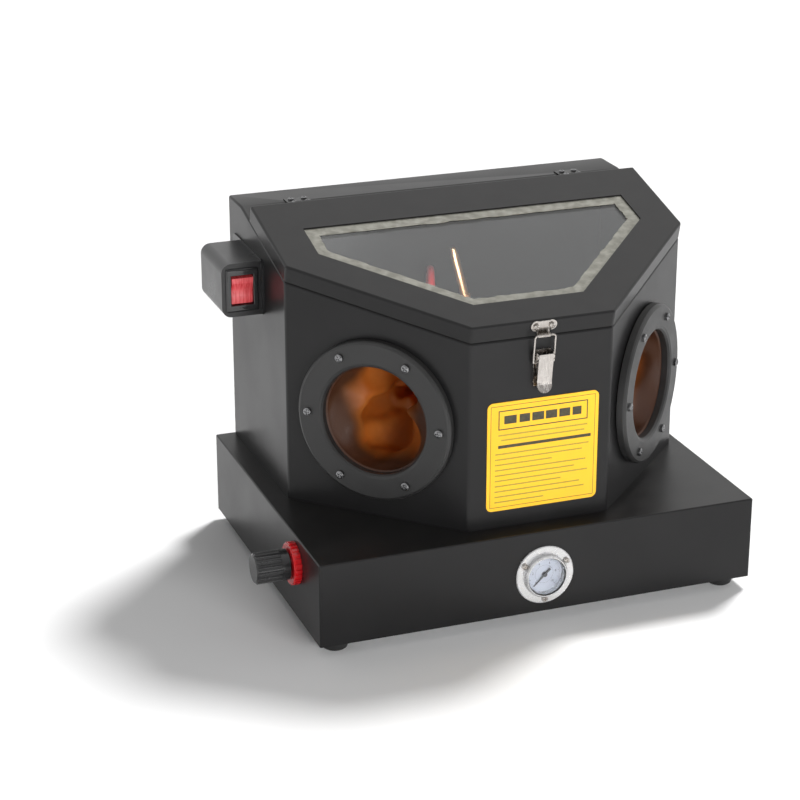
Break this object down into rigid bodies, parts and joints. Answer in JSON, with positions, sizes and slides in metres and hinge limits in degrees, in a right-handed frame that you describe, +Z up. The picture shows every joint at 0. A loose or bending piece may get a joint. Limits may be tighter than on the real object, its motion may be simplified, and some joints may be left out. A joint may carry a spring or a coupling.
{
  "type": "sandblast cabinet",
  "caption": "Benchtop sandblast cabinet: six-sided chamber with a hinged window lid, draw latch, two glove ports, air regulator, pressure gauge and power switch on a flat base.",
  "frame": {"origin": "on the surface that the feet stand on, under the middle of the outline of the whole object", "axes": "+X to the right of someone at the glove ports, +Y to the back, +Z up"},
  "size_m": [0.5036, 0.391, 0.373],
  "materials": {
    "powder_black": "satin powder coat",
    "zinc_plate": "zinc plated sheet",
    "screw_steel": "plain steel",
    "dark_screw": "blackened steel",
    "foot_rubber": "matt moulded rubber",
    "ring_black": "satin black",
    "glove_rubber": "soft dipped rubber",
    "window_glass": "clear",
    "seal_strip": "pale sealing tape",
    "gasket_foam": "closed-cell foam",
    "hinge_black": "satin black",
    "nickel": "nickel plated",
    "label_yellow": "printed film",
    "gauge_steel": "polished steel",
    "dial_white": "matt white",
    "pointer_black": "matt black",
    "gauge_lens": "clear",
    "regulator_metal": "cast",
    "lock_red": "moulded",
    "knob_black": "moulded",
    "switch_black": "moulded",
    "bezel_black": "gloss moulded",
    "rocker_red": "translucent moulded",
    "brass_fitting": "turned",
    "lamp_white": "white",
    "lamp_diffuser": "frosted",
    "gun_dark": "anodised",
    "nozzle_copper": "turned copper",
    "hose_red": "smooth hose"
  },
  "bodies": {
    "cabinet": {"base_housing": "powder_black", "base_bottom_plate": "zinc_plate", "base_screws": "screw_steel", "foot_front_left": "foot_rubber", "foot_front_right": "foot_rubber", "foot_rear_left": "foot_rubber", "foot_rear_right": "foot_rubber", "foot_screws": "screw_steel", "cabinet_shell": "powder_black", "cabinet_floor": "zinc_plate", "media_tray": "zinc_plate", "work_grate": "zinc_plate", "glove_ring_left": "ring_black", "glove_ring_right": "ring_black", "backing_ring_left": "zinc_plate", "backing_ring_right": "zinc_plate", "ring_screws_left": "dark_screw", "ring_screws_right": "dark_screw", "glove_left": "glove_rubber", "glove_right": "glove_rubber", "lid_gasket": "gasket_foam", "hinge_body_leaves": "hinge_black", "hinge_pins": "screw_steel", "hinge_body_screws": "dark_screw", "latch_base": "nickel", "latch_screws": "nickel", "label_plate": "label_yellow", "gauge_case": "gauge_steel", "gauge_dial": "dial_white", "gauge_glass": "gauge_lens", "gauge_screws": "nickel", "regulator_body": "regulator_metal", "lock_ring": "lock_red", "switch_housing": "switch_black", "switch_bezel": "bezel_black", "dust_port": "ring_black", "air_inlet": "brass_fitting", "power_inlet": "bezel_black", "lamp_housing": "lamp_white", "lamp_lens": "lamp_diffuser", "gun_body": "gun_dark", "gun_nozzle": "nozzle_copper", "gun_holder": "zinc_plate", "air_hose": "hose_red"},
    "lid": {"lid_shell": "powder_black", "window_glass": "window_glass", "window_seal": "seal_strip", "window_clips": "zinc_plate", "clip_screws": "screw_steel", "hinge_lid_leaves": "hinge_black", "hinge_lid_screws": "dark_screw", "latch_catch": "nickel", "catch_screws": "nickel"},
    "latch_lever": {"latch_lever": "nickel"},
    "latch_loop": {"latch_loop": "nickel"},
    "rocker": {"switch_rocker": "rocker_red"},
    "pointer": {"gauge_pointer": "pointer_black"},
    "spindle": {"regulator_spindle": "screw_steel"},
    "knob": {"regulator_knob": "knob_black"},
    "trigger": {"gun_trigger": "screw_steel"}
  },
  "joints": [
    {"name": "lid_hinge", "type": "hinge", "parent": "cabinet", "child": "lid", "pos_m": [0.0263, 0.0972, 0.3645], "axis": [-1, 0, 0], "range_deg": [0, 100]},
    {"name": "latch_lever_pivot", "type": "hinge", "parent": "cabinet", "child": "latch_lever", "pos_m": [0.0263, -0.1705, 0.274], "axis": [-1, 0, 0], "range_deg": [0, 110]},
    {"name": "latch_loop_pivot", "type": "hinge", "parent": "latch_lever", "child": "latch_loop", "pos_m": [0.0263, -0.168, 0.267], "axis": [1, 0, 0], "range_deg": [0, 130]},
    {"name": "switch_rock", "type": "hinge", "parent": "cabinet", "child": "rocker", "pos_m": [-0.2087, 0.0515, 0.299], "axis": [-1, 0, 0], "range_deg": [0, 16]},
    {"name": "gauge_needle", "type": "hinge", "parent": "cabinet", "child": "pointer", "pos_m": [0.0238, -0.1875, 0.052], "axis": [0, 1, 0], "range_deg": [0, 270], "stiffness_Nm_per_rad": 0.0004},
    {"name": "regulator_turn", "type": "hinge", "parent": "cabinet", "child": "spindle", "pos_m": [-0.2082, -0.1145, 0.07], "axis": [-1, 0, 0], "continuous": true},
    {"name": "knob_unlock", "type": "slide", "parent": "spindle", "child": "knob", "axis": [-1, 0, 0], "range_m": [0, 0.003]},
    {"name": "gun_trigger_pull", "type": "hinge", "parent": "cabinet", "child": "trigger", "pos_m": [0.0434, 0.035, 0.25799], "axis": [0, 1, 0], "range_deg": [0, 12], "stiffness_Nm_per_rad": 0.05, "springref_deg": -11.46}
  ],
  "couplings": [
    {"joint": "latch_loop_pivot", "follows": "latch_lever_pivot", "ratio": 1.15}
  ]
}
